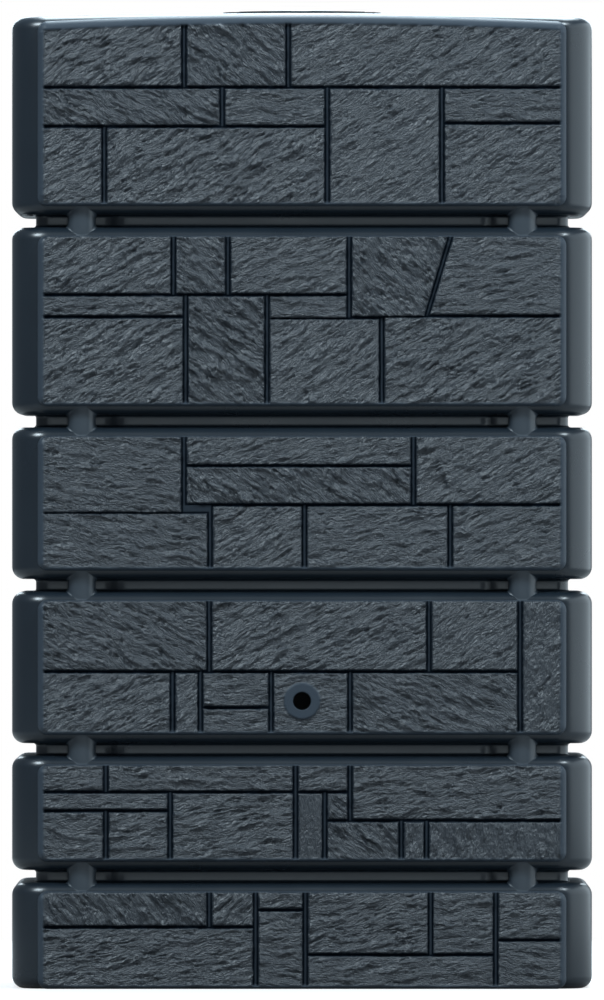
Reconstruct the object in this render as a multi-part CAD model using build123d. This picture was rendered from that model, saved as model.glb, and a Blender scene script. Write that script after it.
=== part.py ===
from build123d import *
import os
from math import asin, atan2, cos, degrees, pi, sqrt, tan

# Slim rainwater tank that stands against a wall. The shell is one blow moulding: six bands with
# stone-look panels on the front, grooves between them that run right round, a crowned top with a
# threaded filler neck, and a tap port. A screw-in lid and its seal close the neck.
# Z is up, the stone front faces -Y, and the origin is the middle of the footprint on the ground.

# Overall size of the shell
WIDTH = 714.0
DEPTH = 400.0
CROWN_HEIGHT = 1200.0
CROWN_RISE = 5.5
ARCH_RUNS = 5
WALL = 4.0
CORNER_RADIUS = 45.0
EDGE_ROUND = 15.0
INNER_BEVEL = 6.0

# Heights of the six panels from the ground up, and the gap between one and the next
PANEL_HEIGHTS = [120.0, 120.0, 166.0, 166.0, 210.0, 235.0]
PANEL_GAP = 36.0

# Front panels, which stand proud of the bands
PANEL_PROUD = 11.2
PANEL_HALF_WIDTH = 325.0
PANEL_CORNER = 12.0
PANEL_BEVEL = 5.0
PANEL_ROOT = 8.0
TOP_PANEL_DROP = 8.0

# Joints between the stones
BED_WIDTH = 4.5
UPRIGHT_WIDTH = 6.0
JOINT_DEPTH = 3.0

# Joints of each panel, from the ground up, in heights above the panel's foot.
# A bed is (height, left end, right end); an upright is (low x, low height, high x, high height).
# A joint that is open at the panel's edge runs past it: to a side, through its FOOT or its HEAD.
PAST = 5.0
EDGE = PANEL_HALF_WIDTH + PAST
FOOT = -PAST
HEAD = None
COURSES = [
    (
        [(76, -EDGE, -57), (97, -57, 4), (42, 4, 238), (60, 238, EDGE)],
        [(-114, 76, -114, HEAD), (-57, FOOT, -57, HEAD), (4, FOOT, 4, HEAD), (158, 42, 158, HEAD)]
        + [(238, FOOT, 238, HEAD)],
    ),
    (
        [(86, -EDGE, 58), (63, -EDGE, -162), (51, 28, EDGE)],
        [(-241, 86, -241, HEAD), (-8, FOOT, -8, HEAD), (59, 51, 59, HEAD), (-162, FOOT, -162, 86)]
        + [(-241, FOOT, -241, 63), (28, FOOT, 28, 86), (122, FOOT, 122, 51), (153, FOOT, 153, 51)],
    ),
    (
        [(78, -EDGE, 268), (34, -125, -38)],
        [(-114, 78, -114, HEAD), (158, 78, 154, HEAD), (268, FOOT, 268, HEAD), (-159, 20, -159, 78)]
        + [(-125, FOOT, -125, 78), (-38, FOOT, -38, 78), (59, FOOT, 59, 78)],
    ),
    (
        [(70, -EDGE, -145), (129, -145, 137), (81, -145, EDGE)],
        [(-145, 70, -145, HEAD), (137, 81, 137, HEAD), (-113, FOOT, -113, 81), (3, FOOT, 3, 81)]
        + [(182, FOOT, 182, 81)],
    ),
    (
        [(137, -EDGE, 58), (111, 58, EDGE), (110, -EDGE, -143), (107, -43, 58)],
        [(-158, 137, -158, HEAD), (-91, 137, -91, HEAD), (58, 107, 58, HEAD), (-143, FOOT, -143, 137)]
        + [(-43, FOOT, -43, 137), (98, FOOT, 98, 111), (153, 111, 184, HEAD)],
    ),
    (
        [(146, -EDGE, EDGE), (98, -EDGE, 31), (102, 172, EDGE)],
        [(-145, 146, -145, HEAD), (-17, 146, -17, HEAD), (-98, 98, -98, 146), (31, FOOT, 31, 146)]
        + [(172, FOOT, 172, 146), (-243, FOOT, -243, 98)],
    ),
]

# Grooves, which are square slots with rounded mouths and a small round at the floor
GROOVE_DEPTH = 29.5
GROOVE_SLOT = 15.4
FLOOR_STEP = 8.0
FLOOR_STEP_HALF = 220.0
FLOOR_STEP_RAMP = 20.0

# Posts that bridge each groove at the front
POST_X = 271.0
POST_RADIUS = 17.2
POST_SET_BACK = 1.0

# Tap port: a flat round boss, just proud of the stones, with a hole for a half-inch tap shank
PORT_HEIGHT = 354.0
PORT_RADIUS = 10.75
BOSS_RADIUS = 23.0
BOSS_PROUD = 0.8
PORT_LENGTH = 12.0

# Filler neck in the crown
LAND_RADIUS = 103.0
LAND_DEPTH = 5.0
NECK_BORE_RADIUS = 83.2
NECK_WALL = 4.3
NECK_DEPTH = 26.0

# Lid and its plug
LID_RADIUS = 98.0
LID_FLANGE = 3.0
LID_DOME = 2.0
LID_DOME_FOOT = 66.0
LID_DOME_HEAD = 44.0
LID_WALL = 3.2
PLUG_RADIUS = 80.0
PLUG_DEPTH = 22.0
NOTCH_COUNT = 6
NOTCH_WIDTH = 27.0
NOTCH_RADIUS = 16.0

# Flat seal between the flange and the land
SEAL_INNER = 84.5
SEAL_OUTER = 89.0
SEAL_THICKNESS = 1.5

# Coarse thread of the neck and the plug
THREAD_PITCH = 7.0
THREAD_TURNS = 1.25
THREAD_START_ANGLE = 35.0
THREAD_BASE = 4.4
THREAD_CREST = 2.2
THREAD_HEIGHT = 2.4
THREAD_SUNK = 0.6
NECK_THREAD_START = 20.5

# Worked out from the sizes above
PANEL_FACE = -DEPTH / 2 + BOSS_PROUD
BODY_FRONT = PANEL_FACE + PANEL_PROUD
BODY_DEPTH = DEPTH / 2 - BODY_FRONT
BODY_MIDDLE = (BODY_FRONT + DEPTH / 2) / 2
MORE = 50.0
LAP = 2.0

panel_feet = []
groove_heights = []
foot = 0.0
for height in PANEL_HEIGHTS:
    panel_feet.append(foot)
    foot += height + PANEL_GAP
    groove_heights.append(foot - PANEL_GAP / 2)
groove_heights.pop()


def slab(outline, low, high):
    """A flat outline drawn on the ground plan, made solid between two heights"""
    return Pos(0, 0, low) * extrude(outline, amount=high - low)


def forward(outline, start, depth):
    """An outline drawn as seen from the front, made solid from start towards the back"""
    return Pos(0, start, 0) * Rot(90, 0, 0) * extrude(outline, amount=-depth)


def step_corners(outline, radius):
    """Cuts a flat outline's corners in three short runs that touch the true quarter circle"""
    outline = chamfer(outline.vertices(), radius * (2 - sqrt(2)))
    return chamfer(outline.vertices(), radius * (tan(pi / 8) - tan(pi / 16)))


def under_arch(top, half_width, rise, inset):
    """All that lies under a gentle arch seen from the front, drawn in runs that touch the true arc"""
    radius = (half_width**2 + rise**2) / (2 * rise)
    run = 2 * half_width / ARCH_RUNS
    points = [(-half_width - run, -MORE), (half_width + run, -MORE)]
    for number in range(ARCH_RUNS + 1, -2, -1):
        x = run * (number - ARCH_RUNS / 2)
        points.append((x, top - inset - (x**2 - (run / 2) ** 2) / (2 * radius)))
    return Polygon(*points, align=None)


def band_plan():
    """The plan of a band: a rectangle with rounded corners"""
    return step_corners(Pos(0, BODY_MIDDLE) * Rectangle(WIDTH, BODY_DEPTH), CORNER_RADIUS)


def groove_plan(inset):
    """The plan at the floor of a groove, with the raised step along the front and the posts"""
    deep = GROOVE_DEPTH + inset
    floor = Pos(0, BODY_MIDDLE) * Rectangle(WIDTH - 2 * deep, BODY_DEPTH - 2 * deep)
    corner = CORNER_RADIUS - GROOVE_DEPTH
    floor = chamfer(floor.vertices(), corner * (2 - sqrt(2)))
    front = BODY_FRONT + deep
    step_half = FLOOR_STEP_HALF - inset / 2
    step = Polygon(
        (-step_half - FLOOR_STEP_RAMP, front),
        (-step_half, front - FLOOR_STEP),
        (step_half, front - FLOOR_STEP),
        (step_half + FLOOR_STEP_RAMP, front),
        align=None,
    )
    plan = floor + step
    for x in (-POST_X, POST_X):
        plan += Pos(x, BODY_FRONT + POST_SET_BACK + POST_RADIUS) * post_plan(inset)
    return plan


def post_plan(inset):
    """A post in plan: a round nose towards the front and straight flanks back to the groove floor"""
    radius = POST_RADIUS - inset
    root = Pos(0, GROOVE_DEPTH) * Rectangle(2 * radius, 2 * GROOVE_DEPTH)
    nose = Rectangle(2 * radius, 2 * radius)
    if inset:
        return root + chamfer(nose.vertices(), radius * (2 - sqrt(2)))
    return root + step_corners(nose, radius)


def level_edges(form):
    """The edges that run level or nearly so, along the heads and feet of a band"""
    return [edge for edge in form.edges() if abs(edge.tangent_at(0.5).Z) < 0.3]


def step_round(form, radius):
    """Rounds the level edges in three facets that touch the true quarter circle, or in one at the crown"""
    form = chamfer(level_edges(form), radius * (2 - sqrt(2)))
    below = [edge for edge in level_edges(form) if edge.center().Z < CROWN_HEIGHT - MORE]
    return chamfer(below, radius * (tan(pi / 8) - tan(pi / 16)))


def crown(inset):
    """The space under the crown, which is highest along the middle of the top"""
    return forward(under_arch(CROWN_HEIGHT, WIDTH / 2, CROWN_RISE, inset), -DEPTH, 2 * DEPTH)


def bands():
    """The foot and the head of every band, from the ground up"""
    feet = [0.0] + [height + GROOVE_SLOT / 2 for height in groove_heights]
    heads = [height - GROOVE_SLOT / 2 for height in groove_heights] + [CROWN_HEIGHT]
    return list(zip(feet, heads))


def outer_form():
    """The outside of the moulding, without its panels"""
    form = slab(groove_plan(0), bands()[0][1] - MORE, bands()[-1][0] + MORE)
    for low, high in bands():
        band = slab(band_plan(), low, high) & crown(0)
        form += step_round(band, EDGE_ROUND)
    return form


def inner_form():
    """The inside of the moulding, one wall thickness in, without the hollows of the panels"""
    form = slab(groove_plan(WALL), bands()[0][1] - MORE, bands()[-1][0] + MORE)
    for low, high in bands():
        block = Pos(0, BODY_MIDDLE) * Rectangle(WIDTH - 2 * WALL, BODY_DEPTH - 2 * WALL)
        block = step_corners(block, CORNER_RADIUS - WALL)
        block = slab(block, low + WALL, high - WALL) & crown(WALL)
        form += chamfer(level_edges(block), INNER_BEVEL)
    return form


def panel_outline(index, inset):
    """A panel seen from the front: a rectangle, with an arched head on the top one"""
    foot = panel_feet[index]
    height = PANEL_HEIGHTS[index]
    outline = Pos(0, foot + height / 2) * Rectangle(2 * (PANEL_HALF_WIDTH - inset), height - 2 * inset)
    if index == len(PANEL_HEIGHTS) - 1:
        outline = outline & under_arch(foot + height, PANEL_HALF_WIDTH, TOP_PANEL_DROP, inset)
    return outline


def panel(index):
    """One front panel with its corners and rim bevelled, its root sunk in the band behind it"""
    outline = panel_outline(index, 0)
    corners = [corner for corner in outline.vertices() if abs(corner.X) > PANEL_HALF_WIDTH - LAP]
    outline = chamfer(corners, PANEL_CORNER * (2 - sqrt(2)))
    plate = forward(outline, PANEL_FACE, PANEL_PROUD + PANEL_ROOT)
    rim = plate.faces().sort_by(Axis.Y)[0].edges()
    return chamfer(rim, PANEL_BEVEL)


def panel_hollow(index):
    """The hollow behind a panel, which keeps the wall even there"""
    skin = JOINT_DEPTH + WALL
    return forward(panel_outline(index, WALL), PANEL_FACE + skin, PANEL_PROUD + PANEL_ROOT - skin)


def joint(start, end, width):
    """One joint between stones: a channel as deep as JOINT_DEPTH, between two points of a panel"""
    run = Vector(*end) - Vector(*start)
    middle = Vector(*start) + run / 2
    outline = Pos(middle.X, middle.Y) * Rot(0, 0, degrees(atan2(run.Y, run.X)))
    outline = outline * Rectangle(run.length + width, width)
    return forward(outline, PANEL_FACE - LAP, JOINT_DEPTH + LAP)


def stone_joints(index):
    """Every joint of one panel: level beds, uprights and leaning uprights"""
    foot = panel_feet[index]
    beds, uprights = COURSES[index]
    channels = []
    for height, left, right in beds:
        channels.append(joint((left, foot + height), (right, foot + height), BED_WIDTH))
    for low_x, low, high_x, high in uprights:
        high = PANEL_HEIGHTS[index] + PAST if high is HEAD else high
        channels.append(joint((low_x, foot + low), (high_x, foot + high), UPRIGHT_WIDTH))
    return channels


def port_disc(radius, start, depth):
    """A round block on the axis of the tap port"""
    return forward(Pos(0, PORT_HEIGHT) * Circle(radius), start, depth)


def ring(outer_radius, inner_radius, low, high):
    """A plain ring round the middle of the tank"""
    return slab(Circle(outer_radius) - Circle(inner_radius), low, high)


def thread(radius, start, outward):
    """A coarse thread ridge, on a bore (outward -1) or on a plug (outward 1)"""
    helix = Helix(THREAD_PITCH, THREAD_PITCH * THREAD_TURNS, radius, center=(0, 0, start))
    section = Polygon(
        (-outward * THREAD_SUNK, -THREAD_BASE / 2),
        (-outward * THREAD_SUNK, THREAD_BASE / 2),
        (0, THREAD_BASE / 2),
        (outward * THREAD_HEIGHT, THREAD_CREST / 2),
        (outward * THREAD_HEIGHT, -THREAD_CREST / 2),
        (0, -THREAD_BASE / 2),
        align=None,
    )
    place = Plane(origin=helix @ 0, x_dir=(1, 0, 0), z_dir=helix % 0)
    return Rot(0, 0, THREAD_START_ANGLE) * sweep(place * section, path=helix, is_frenet=True)


def neck():
    """The level land round the filler opening, the neck tube below it and the thread inside"""
    low = CROWN_HEIGHT - NECK_DEPTH
    tube = ring(NECK_BORE_RADIUS + NECK_WALL, NECK_BORE_RADIUS, low, CROWN_HEIGHT)
    land = ring(LAND_RADIUS, NECK_BORE_RADIUS, CROWN_HEIGHT - LAND_DEPTH, CROWN_HEIGHT)
    return tube + land + thread(NECK_BORE_RADIUS, CROWN_HEIGHT - NECK_THREAD_START, -1)


def make_tank_body():
    """The blow-moulded shell in one piece"""
    shell = outer_form()
    for index in range(len(PANEL_HEIGHTS)):
        shell += panel(index)
    hollow = inner_form()
    for index in range(len(PANEL_HEIGHTS)):
        hollow += panel_hollow(index)
    shell -= hollow
    for index in range(len(PANEL_HEIGHTS)):
        shell -= stone_joints(index)
    shell += port_disc(BOSS_RADIUS, -DEPTH / 2, PORT_LENGTH)
    shell -= port_disc(PORT_RADIUS, -DEPTH / 2 - LAP, PORT_LENGTH + MORE)
    shell -= slab(Circle(NECK_BORE_RADIUS), CROWN_HEIGHT - NECK_DEPTH - LAP, CROWN_HEIGHT + MORE)
    return shell + neck()


def lid_cap():
    """The top of the lid, turned, with a low raised middle"""
    under = CROWN_HEIGHT + SEAL_THICKNESS
    rim = under + LID_FLANGE
    top = rim + LID_DOME
    profile = Polygon(
        (0, under),
        (LID_RADIUS, under),
        (LID_RADIUS, rim),
        (LID_DOME_FOOT, rim),
        (LID_DOME_HEAD, top),
        (0, top),
        align=None,
    )
    return revolve(Rot(90, 0, 0) * profile, Axis.Z)


def make_lid():
    """The screw-in lid: a low dome with grip notches in its rim, on a hollow threaded plug"""
    cap = lid_cap()
    under = CROWN_HEIGHT + SEAL_THICKNESS
    notch_reach = LID_RADIUS * cos(asin(NOTCH_WIDTH / 2 / LID_RADIUS))
    notch_centre = notch_reach + sqrt(NOTCH_RADIUS**2 - (NOTCH_WIDTH / 2) ** 2)
    for spot in PolarLocations(notch_centre, NOTCH_COUNT, start_angle=-90):
        cap -= spot * Pos(0, 0, under) * Cylinder(NOTCH_RADIUS, MORE)
    plug = ring(PLUG_RADIUS, PLUG_RADIUS - LID_WALL, under - PLUG_DEPTH, under + LAP)
    start = CROWN_HEIGHT - NECK_THREAD_START + THREAD_PITCH / 2
    return cap + plug + thread(PLUG_RADIUS, start, 1)


def make_lid_seal():
    """The flat rubber ring between the lid's flange and the land of the neck"""
    return ring(SEAL_OUTER, SEAL_INNER, CROWN_HEIGHT, CROWN_HEIGHT + SEAL_THICKNESS)


os.makedirs("parts", exist_ok=True)
MAKERS = {"tank_body": make_tank_body, "lid": make_lid, "lid_seal": make_lid_seal}
for node, make in MAKERS.items():
    solid = make()
    export_step(solid, "parts/" + node + ".step")
    size = solid.bounding_box().size
    print(node, "volume", round(solid.volume), "size", round(size.X), round(size.Y), round(size.Z))
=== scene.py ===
# %% [markdown]
# A slim rainwater tank
# A wall tank like this is one hollow moulding of dark polyethylene. Its front imitates coursed slate,
# and five square grooves run right round it and stiffen the long walls. This lesson dresses the solid
# model: it builds the outside of the moulding as fine meshes, gives each plastic its grain, and lights
# the whole like a catalogue picture.

# %% Load the solid model
from math import cos, pi, radians, sin

import bpy
import numpy as np
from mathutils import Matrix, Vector


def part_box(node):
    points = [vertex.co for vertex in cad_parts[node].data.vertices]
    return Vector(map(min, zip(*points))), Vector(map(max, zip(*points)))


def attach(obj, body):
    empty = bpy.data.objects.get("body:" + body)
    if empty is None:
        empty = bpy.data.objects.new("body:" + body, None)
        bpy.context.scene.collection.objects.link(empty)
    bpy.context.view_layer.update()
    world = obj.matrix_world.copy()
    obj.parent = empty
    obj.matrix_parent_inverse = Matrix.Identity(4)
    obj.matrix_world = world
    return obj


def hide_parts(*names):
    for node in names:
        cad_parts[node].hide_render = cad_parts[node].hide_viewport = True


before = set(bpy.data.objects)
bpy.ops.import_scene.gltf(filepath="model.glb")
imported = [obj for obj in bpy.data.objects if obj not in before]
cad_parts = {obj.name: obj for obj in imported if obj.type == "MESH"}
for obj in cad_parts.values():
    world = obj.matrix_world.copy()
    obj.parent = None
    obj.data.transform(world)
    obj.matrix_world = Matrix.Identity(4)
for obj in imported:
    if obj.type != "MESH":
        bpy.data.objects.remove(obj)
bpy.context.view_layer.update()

MM = 0.001
tank_low, tank_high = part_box("tank_body")

# %% [markdown]
# Sizes
# The overall box comes from the solid model, and the rest are the moulding's own sizes in metres.
# Panel heights are listed from the ground up, and each groove sits half way between two panels. The
# tap port's height says which panel it is in.

# %% Name the sizes
HALF_WIDTH = tank_high.x
BACK = tank_high.y
DISC_FACE = tank_low.y
TOP = tank_high.z
WALL = 4 * MM
DISC_PROUD = 0.8 * MM
PANEL_FACE = DISC_FACE + DISC_PROUD
PANEL_PROUD = 11.2 * MM
FRONT = PANEL_FACE + PANEL_PROUD
MIDDLE_Y = (FRONT + BACK) / 2
HALF_DEPTH = (BACK - FRONT) / 2
CORNER_RADIUS = 45 * MM
EDGE_ROUND = 15 * MM
CROWN_RISE = 5.5 * MM
CROWN_RADIUS = HALF_WIDTH**2 / (2 * CROWN_RISE)

PANEL_HEIGHTS = [h * MM for h in (120, 120, 166, 166, 210, 235)]
PANEL_GAP = 36 * MM
panel_feet = [sum(PANEL_HEIGHTS[:i]) + i * PANEL_GAP for i in range(len(PANEL_HEIGHTS))]
groove_heights = [foot - PANEL_GAP / 2 for foot in panel_feet[1:]]

GROOVE_DEPTH = 29.5 * MM
GROOVE_HALF_SLOT = 7.7 * MM
GROOVE_FILLET = 4 * MM
PORT_HEIGHT = 354 * MM
PORT_BORE = 10.75 * MM
port_panel = sum(foot < PORT_HEIGHT for foot in panel_feet) - 1
print("grooves at", [round(g, 3) for g in groove_heights])
print("panels from", [round(f, 3) for f in panel_feet], "with the tap port in number", port_panel)

# %% [markdown]
# The camera
# The photograph is taken straight on from far away, so upright edges stay upright and the grooves look
# alike from top to bottom. A long lens at half height gives that. The picture is 604 by 1000 pixels,
# and the scale at the widest part of the tank sets the lens.

# %% Place the camera
PICTURE_HEIGHT_PX = 1000
METRES_PER_PIXEL = 1.2315 * MM
CAMERA_HEIGHT = 0.601
CAMERA_DISTANCE = 24.0
SENSOR = 36.0
camera_data = bpy.data.cameras.new("camera")
camera_data.sensor_width = SENSOR
camera_data.lens = SENSOR * CAMERA_DISTANCE / (PICTURE_HEIGHT_PX * METRES_PER_PIXEL)
camera_data.clip_end = 200
camera = bpy.data.objects.new("camera", camera_data)
bpy.context.scene.collection.objects.link(camera)
camera.location = (0, FRONT + CORNER_RADIUS - CAMERA_DISTANCE, CAMERA_HEIGHT)
camera.rotation_euler = (radians(90), 0, 0)
bpy.context.scene.camera = camera
print("lens", round(camera_data.lens), "mm from", CAMERA_DISTANCE, "m")

# %% [markdown]
# Meshes from grids of points
# Nearly every surface here is a grid: rows of points that follow the form. NumPy places the points,
# and these helpers turn rows and columns into faces. It is quick, even for the fine stone faces.

# %% Helpers that build a mesh
def grid_faces(rows, columns, closed, start=0):
    """The four-sided faces between rows of points; closed joins the last column to the first"""
    last = columns if closed else columns - 1
    row, column = np.meshgrid(np.arange(rows - 1), np.arange(last), indexing="ij")
    right = (column + 1) % columns
    above = row + 1
    corners = [
        row * columns + column,
        row * columns + right,
        above * columns + right,
        above * columns + column,
    ]
    return start + np.stack(corners, axis=-1).reshape(-1, 4)


def make_piece(name, points, faces, finish, body="tank", crease=None):
    """A smooth-shaded mesh object that rides on a body, with creases sharper than an angle kept"""
    mesh = bpy.data.meshes.new(name)
    mesh.from_pydata(np.asarray(points, float).tolist(), [], [list(map(int, f)) for f in faces])
    mesh.validate()
    mesh.polygons.foreach_set("use_smooth", np.ones(len(mesh.polygons), bool))
    if crease:
        mesh.set_sharp_from_angle(angle=radians(crease))
    mesh.materials.append(finish)
    piece = bpy.data.objects.new(name, mesh)
    bpy.context.scene.collection.objects.link(piece)
    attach(piece, body)
    print(name, "has", len(mesh.polygons), "faces")
    return piece


# %% [markdown]
# The plastics
# The shell is polyethylene with colour mixed into it, so the colour hardly varies, and what the eye
# reads is the sheen. Smooth walls look dark and mirror the room. The stones come from a rough part of
# the mould, so they scatter the light and look lighter, and the posts in the grooves are duller and
# greyer than the walls. A large noise varies colour and roughness a little, as on real mouldings, and
# a fine one makes the grain of the mould as bump.

# %% A function for moulded plastic
PLASTIC_IOR = 1.5
CLOUD_SCALE = 14
CLOUD_DETAIL = 4
TINT_DARKEST = 0.9
TINT_LIGHTEST = 1.1
ROUGHNESS_CHANGE = 0.05
GRAIN_DETAIL = 3


def moulded_plastic(name, colour, roughness, shine, grain_size, grain_depth):
    """Polyethylene from a blasted mould; grain_size and grain_depth are in metres"""
    material = bpy.data.materials.new(name)
    material.use_nodes = True
    nodes, links = material.node_tree.nodes, material.node_tree.links
    shader = nodes["Principled BSDF"]
    shader.inputs["IOR"].default_value = PLASTIC_IOR
    shader.inputs["Specular IOR Level"].default_value = shine
    place = nodes.new("ShaderNodeTexCoord")

    cloud = nodes.new("ShaderNodeTexNoise")
    cloud.inputs["Scale"].default_value = CLOUD_SCALE
    cloud.inputs["Detail"].default_value = CLOUD_DETAIL
    links.new(place.outputs["Object"], cloud.inputs["Vector"])

    tint = nodes.new("ShaderNodeMix")
    tint.data_type = "RGBA"
    tint.inputs["A"].default_value = (*[c * TINT_DARKEST for c in colour], 1)
    tint.inputs["B"].default_value = (*[c * TINT_LIGHTEST for c in colour], 1)
    links.new(cloud.outputs["Fac"], tint.inputs["Factor"])
    links.new(tint.outputs["Result"], shader.inputs["Base Color"])

    sheen = nodes.new("ShaderNodeMapRange")
    sheen.inputs["To Min"].default_value = roughness - ROUGHNESS_CHANGE
    sheen.inputs["To Max"].default_value = roughness + ROUGHNESS_CHANGE
    links.new(cloud.outputs["Fac"], sheen.inputs["Value"])
    links.new(sheen.outputs["Result"], shader.inputs["Roughness"])

    grain = nodes.new("ShaderNodeTexNoise")
    grain.inputs["Scale"].default_value = 1 / grain_size
    grain.inputs["Detail"].default_value = GRAIN_DETAIL
    links.new(place.outputs["Object"], grain.inputs["Vector"])
    bump = nodes.new("ShaderNodeBump")
    bump.inputs["Strength"].default_value = 1
    bump.inputs["Distance"].default_value = grain_depth
    links.new(grain.outputs["Fac"], bump.inputs["Height"])
    links.new(bump.outputs["Normal"], shader.inputs["Normal"])
    return material


# %% Mix the finishes
SLATE_GREY = (0.009, 0.014, 0.020)
STONE_GREY = (0.012, 0.017, 0.024)
RIM_GREY = (0.036, 0.046, 0.059)
# near-black painted shade for the joints, standing in for the shadow inside them
JOINT_PAINTED_SHADE = (0.003, 0.005, 0.008)
POST_GREY = (0.022, 0.031, 0.041)
RUBBER_BLACK = (0.020, 0.020, 0.021)
RIM_SHINE = 0.14
STONE_SHINE = 0.8
smooth_plastic = moulded_plastic("smooth_plastic", SLATE_GREY, 0.29, 0.5, 1.6 * MM, 0.02 * MM)
stone_plastic = moulded_plastic("stone_plastic", STONE_GREY, 0.44, STONE_SHINE, 1.2 * MM, 0.12 * MM)
post_plastic = moulded_plastic("post_plastic", POST_GREY, 0.44, 0.6, 1.6 * MM, 0.02 * MM)
lid_plastic = moulded_plastic("lid_plastic", SLATE_GREY, 0.36, 0.5, 1.4 * MM, 0.02 * MM)
seal_rubber = moulded_plastic("seal_rubber", RUBBER_BLACK, 0.60, 0.5, 0.9 * MM, 0.03 * MM)
plastics = (smooth_plastic, stone_plastic, post_plastic, lid_plastic, seal_rubber)
print("mixed", [finish.name for finish in plastics])

# %% [markdown]
# Marks on the stone plastic
# Three things differ from place to place on a stone panel. The joints get painted shade: they are painted
# nearly black and their shine is taken away, as if they lay in their own shadow, and the faint strip of
# mortar along the middle of the upright ones gets half of that painted shade. The rims and the disc round
# the tap port are smooth, with a grey and a soft sheen of their own. Only the split faces have the full
# shine and the fine streaks of the slate. The panel's mesh carries these marks as numbers at its points,
# with a map of places along and across the grain, and the material reads them.

# %% Paint shade into the joints, calm the rims and streak the split faces
STREAK_LENGTH = 5.5 * MM
STREAK_WIDTH = 1.8 * MM
STREAK_DEPTH = 2.4 * MM
STREAK_DETAIL = 2
STREAK_DISTORTION = 0.6


def mark_reader(tree, name):
    """A node that reads numbers from the mesh by name"""
    reader = tree.nodes.new("ShaderNodeAttribute")
    reader.attribute_name = name
    return reader


def grey_by_mark(tree, name, grey):
    """A mix that gives a grey where the mark is 0 and its other colour where the mark is 1"""
    mix = tree.nodes.new("ShaderNodeMix")
    mix.data_type = "RGBA"
    mix.inputs["A"].default_value = (*grey, 1)
    tree.links.new(mark_reader(tree, name).outputs["Fac"], mix.inputs["Factor"])
    return mix


def add_marks(material):
    """Paints shade into joints, near black and dull; gives rims a grey and shine, split faces streaks as
    bump
    """
    tree = material.node_tree
    nodes, links = tree.nodes, tree.links
    shader = nodes["Principled BSDF"]
    colour_from = shader.inputs["Base Color"].links[0].from_socket
    joint_shade_mix = grey_by_mark(tree, "stone", JOINT_PAINTED_SHADE)
    rim_mix = grey_by_mark(tree, "split", RIM_GREY)
    links.new(colour_from, rim_mix.inputs["B"])
    links.new(rim_mix.outputs["Result"], joint_shade_mix.inputs["B"])
    links.new(joint_shade_mix.outputs["Result"], shader.inputs["Base Color"])

    shine = nodes.new("ShaderNodeMapRange")
    shine.inputs["To Min"].default_value = RIM_SHINE
    shine.inputs["To Max"].default_value = STONE_SHINE
    links.new(mark_reader(tree, "split").outputs["Fac"], shine.inputs["Value"])
    # the stone mark also takes the shine away in the joints, as part of their painted shade
    joint_shaded_shine = nodes.new("ShaderNodeMath")
    joint_shaded_shine.operation = "MULTIPLY"
    links.new(shine.outputs["Result"], joint_shaded_shine.inputs[0])
    links.new(mark_reader(tree, "stone").outputs["Fac"], joint_shaded_shine.inputs[1])
    links.new(joint_shaded_shine.outputs["Value"], shader.inputs["Specular IOR Level"])

    stretch = nodes.new("ShaderNodeMapping")
    stretch.inputs["Scale"].default_value = (1 / STREAK_LENGTH, 1 / STREAK_WIDTH, 1)
    links.new(mark_reader(tree, "slate_grain").outputs["Vector"], stretch.inputs["Vector"])
    streaks = nodes.new("ShaderNodeTexNoise")
    streaks.inputs["Scale"].default_value = 1
    streaks.inputs["Detail"].default_value = STREAK_DETAIL
    streaks.inputs["Distortion"].default_value = STREAK_DISTORTION
    links.new(stretch.outputs["Vector"], streaks.inputs["Vector"])
    bump = nodes.new("ShaderNodeBump")
    bump.inputs["Distance"].default_value = STREAK_DEPTH
    links.new(mark_reader(tree, "split").outputs["Fac"], bump.inputs["Strength"])
    links.new(streaks.outputs["Fac"], bump.inputs["Height"])
    links.new(shader.inputs["Normal"].links[0].from_socket, bump.inputs["Normal"])
    links.new(bump.outputs["Normal"], shader.inputs["Normal"])


add_marks(stone_plastic)
print(stone_plastic.name, "now has", len(stone_plastic.node_tree.nodes), "nodes")

# %% [markdown]
# The plan of the tank
# Seen from above, every height of the shell is the same rounded rectangle, set in by some depth.
# So one list of plan points with their outward directions is enough: a point at depth d is the plan
# point moved d inwards. Columns stand closer where the front has posts and ramps to follow. The floor
# of each groove is 8 mm shallower along the middle of the front, with a short ramp at both ends.

# %% Points round the plan
FLOOR_STEP = 8 * MM
STEP_HALF = 220 * MM
STEP_RAMP = 20 * MM
FRONT_COLUMNS = 120
SIDE_COLUMNS = 12
BACK_COLUMNS = 20
CORNER_COLUMNS = 16
STRAIGHT_AHEAD = -0.999


def plan_columns():
    """Plan points and outward directions, anticlockwise from the front left"""
    straight_x, straight_y = HALF_WIDTH - CORNER_RADIUS, HALF_DEPTH - CORNER_RADIUS
    places, outward = [], []
    sides = [
        ((-straight_x, -HALF_DEPTH), (straight_x, -HALF_DEPTH), -pi / 2, FRONT_COLUMNS),
        ((HALF_WIDTH, -straight_y), (HALF_WIDTH, straight_y), 0, SIDE_COLUMNS),
        ((straight_x, HALF_DEPTH), (-straight_x, HALF_DEPTH), pi / 2, BACK_COLUMNS),
        ((-HALF_WIDTH, straight_y), (-HALF_WIDTH, -straight_y), pi, SIDE_COLUMNS),
    ]
    for start, end, facing, count in sides:
        for share in np.linspace(0, 1, count):
            places.append(np.array(start) * (1 - share) + np.array(end) * share)
            outward.append((cos(facing), sin(facing)))
        centre = np.array(end) - CORNER_RADIUS * np.array([cos(facing), sin(facing)])
        for turn in np.linspace(0, pi / 2, CORNER_COLUMNS + 1)[1:-1]:
            direction = np.array([cos(facing + turn), sin(facing + turn)])
            places.append(centre + CORNER_RADIUS * direction)
            outward.append(tuple(direction))
    return np.array(places) + [0, MIDDLE_Y], np.array(outward)


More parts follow.
